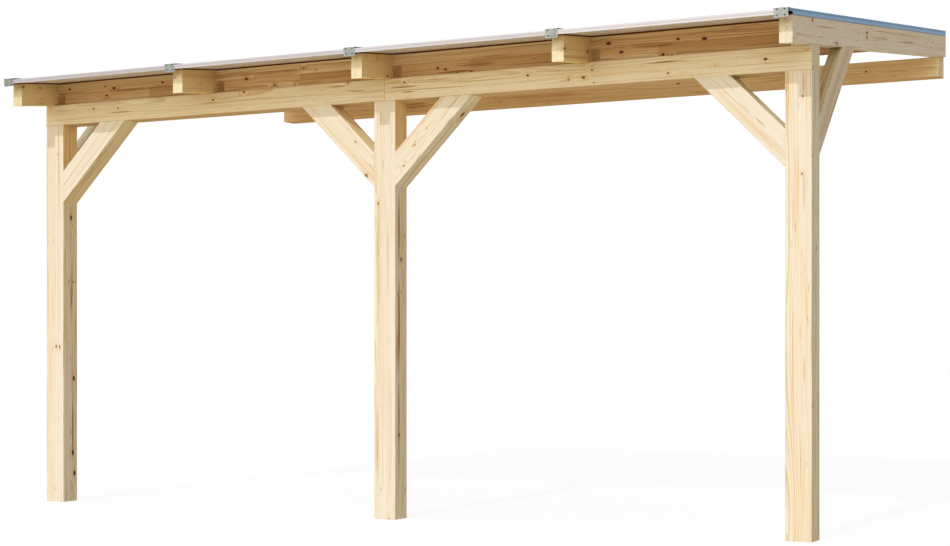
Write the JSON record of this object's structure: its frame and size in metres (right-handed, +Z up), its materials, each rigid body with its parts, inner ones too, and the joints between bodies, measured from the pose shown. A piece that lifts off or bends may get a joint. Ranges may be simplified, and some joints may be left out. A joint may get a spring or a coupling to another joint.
{
  "type": "lean-to terrace pergola roof",
  "caption": "Lean-to pergola roof of pale laminated timber: square posts with diagonal braces carry a front beam and sloping rafters under opal cellular panels, fixed to a wall behind.",
  "frame": {"origin": "centre of the wall beam's back face, on the wall plane, at half that face's height", "axes": "+X along the wall to the right seen from the front, +Y into the wall, +Z up"},
  "size_m": [4.346, 2.8427, 2.6187],
  "materials": {
    "timber": "planed, untreated",
    "opal_panel": "opal, translucent",
    "white_strip": "satin",
    "aluminium": "mill finish",
    "rubber": "matte"
  },
  "bodies": {
    "root": {"left_post": "timber", "middle_post": "timber", "right_post": "timber", "front_beam_left": "timber", "front_beam_right": "timber", "wall_beam": "timber", "rafter_1": "timber", "rafter_2": "timber", "rafter_3": "timber", "rafter_4": "timber", "rafter_5": "timber", "brace_left": "timber", "brace_middle_left": "timber", "brace_middle_right": "timber", "brace_right": "timber", "side_brace_left": "timber", "side_brace_right": "timber", "eaves_board_1": "timber", "eaves_board_2": "timber", "eaves_board_3": "timber", "eaves_board_4": "timber", "wall_battens": "timber", "roof_panel_1": "opal_panel", "roof_panel_2": "opal_panel", "roof_panel_3": "opal_panel", "roof_panel_4": "opal_panel", "edge_strips_1": "white_strip", "edge_strips_2": "white_strip", "edge_strips_3": "white_strip", "edge_strips_4": "white_strip", "bedding_1": "rubber", "bedding_2": "rubber", "bedding_3": "rubber", "bedding_4": "rubber", "bedding_5": "rubber", "bar_cover_1": "aluminium", "bar_cover_2": "aluminium", "bar_cover_3": "aluminium", "bar_cover_4": "aluminium", "bar_cover_5": "aluminium", "end_cap_1": "aluminium", "end_cap_2": "aluminium", "end_cap_3": "aluminium", "end_cap_4": "aluminium", "end_cap_5": "aluminium"}
  },
  "joints": []
}
